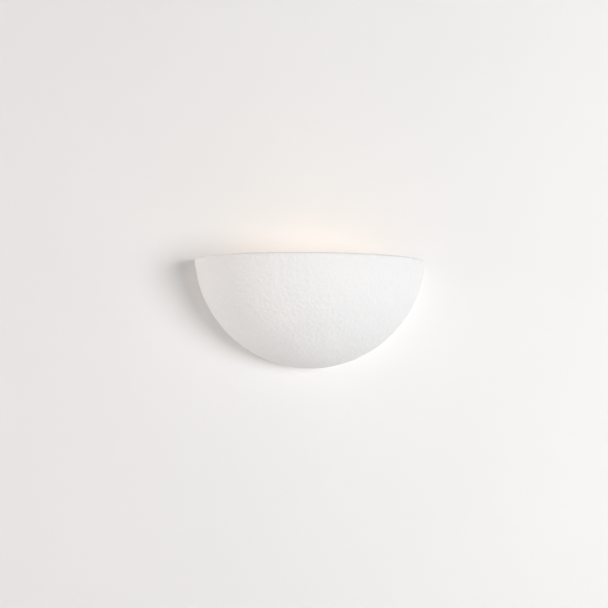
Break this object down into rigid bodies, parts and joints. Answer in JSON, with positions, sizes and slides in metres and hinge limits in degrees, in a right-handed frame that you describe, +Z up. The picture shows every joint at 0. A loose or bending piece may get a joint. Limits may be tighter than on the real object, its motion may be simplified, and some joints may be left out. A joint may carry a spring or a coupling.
{
  "type": "uplighter wall sconce",
  "caption": "Half-bowl uplighter for a wall: a white textured shade, open at the top, clamped to a folded steel bracket that carries a screw-cap lampholder and bulb.",
  "frame": {"origin": "middle of the wall bracket's back face, on the line of its two wall slots", "axes": "+Z up, +X to the right seen from the room, +Y into the wall; the light stands off the wall towards -Y"},
  "size_m": [0.2994, 0.1507, 0.14],
  "materials": {
    "shade_plaster": "matt white, fine sandy relief",
    "bracket_steel": "zinc-plated sheet",
    "bright_zinc": "bright zinc plate",
    "black_rubber": "matt",
    "grey_nylon": "moulded",
    "porcelain": "glazed white",
    "shell_brass": "pressed, bright",
    "spring_bronze": "pressed, bright",
    "clear_nylon": "moulded, milky",
    "tinned_copper": "tinned",
    "earth_pvc": "green with a yellow stripe",
    "neutral_pvc": "blue",
    "live_pvc": "brown",
    "nut_brass": "turned, bright",
    "black_vitrite": "glassy black",
    "nickel_cap": "rolled, nickel plated",
    "white_collar": "moulded white",
    "white_board": "solder mask",
    "opal_globe": "opal, lit from inside"
  },
  "bodies": {
    "root": {"wall_bracket": "bracket_steel", "shade_studs": "bright_zinc", "cushion_washers": "black_rubber", "cable_bush": "grey_nylon", "lampholder_body": "porcelain", "lampholder_shell": "shell_brass", "lampholder_contact": "spring_bronze", "lampholder_washers": "bright_zinc", "lampholder_screws": "bright_zinc", "terminal_block": "clear_nylon", "terminal_inserts": "shell_brass", "terminal_screws": "bright_zinc", "block_screws": "bright_zinc", "earth_washer": "bright_zinc", "earth_ring": "tinned_copper", "earth_screw": "shell_brass", "lead_earth": "earth_pvc", "lead_neutral": "neutral_pvc", "lead_live": "live_pvc"},
    "shade": {"shade": "shade_plaster", "nut_washers": "bright_zinc", "thumb_nuts": "nut_brass"},
    "bulb": {"bulb_contact": "tinned_copper", "bulb_insulator": "black_vitrite", "bulb_cap": "nickel_cap", "bulb_collar": "white_collar", "led_board": "white_board", "bulb_globe": "opal_globe"}
  },
  "joints": [
    {"name": "shade_draw", "type": "slide", "parent": "root", "child": "shade", "axis": [0, -1, 0], "range_m": [0, 0.15]},
    {"name": "bulb_lift", "type": "slide", "parent": "root", "child": "bulb", "axis": [0, 0, 1], "range_m": [0, 0.12]}
  ]
}
